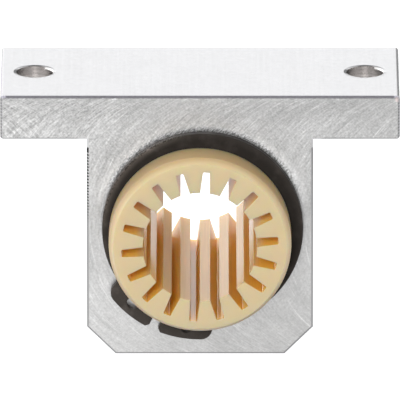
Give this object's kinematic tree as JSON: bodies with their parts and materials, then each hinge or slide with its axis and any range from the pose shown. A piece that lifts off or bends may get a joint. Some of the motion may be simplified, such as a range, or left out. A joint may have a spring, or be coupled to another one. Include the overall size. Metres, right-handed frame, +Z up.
{
  "type": "linear pillow block bearing",
  "caption": "T-shaped aluminium pillow block with a slotted polymer sleeve for a sliding round shaft, held by spring retaining rings, with screw holes in its flange.",
  "frame": {"origin": "on the shaft's axis, half way along the block", "axes": "+X along the flange, +Y along the shaft from the front ring to the rear ring, +Z up to the flange's mounting face"},
  "size_m": [0.07, 0.045, 0.0477],
  "materials": {
    "sawn_aluminium": "bare extruded aluminium with sawn and face-milled ends",
    "cream_polymer": "moulded cream-yellow bearing polymer, satin",
    "black_spring_steel": "stamped spring steel, phosphated black and oiled"
  },
  "bodies": {
    "root": {"housing": "sawn_aluminium", "bearing_sleeve": "cream_polymer", "front_retaining_ring": "black_spring_steel", "rear_retaining_ring": "black_spring_steel"}
  },
  "joints": []
}
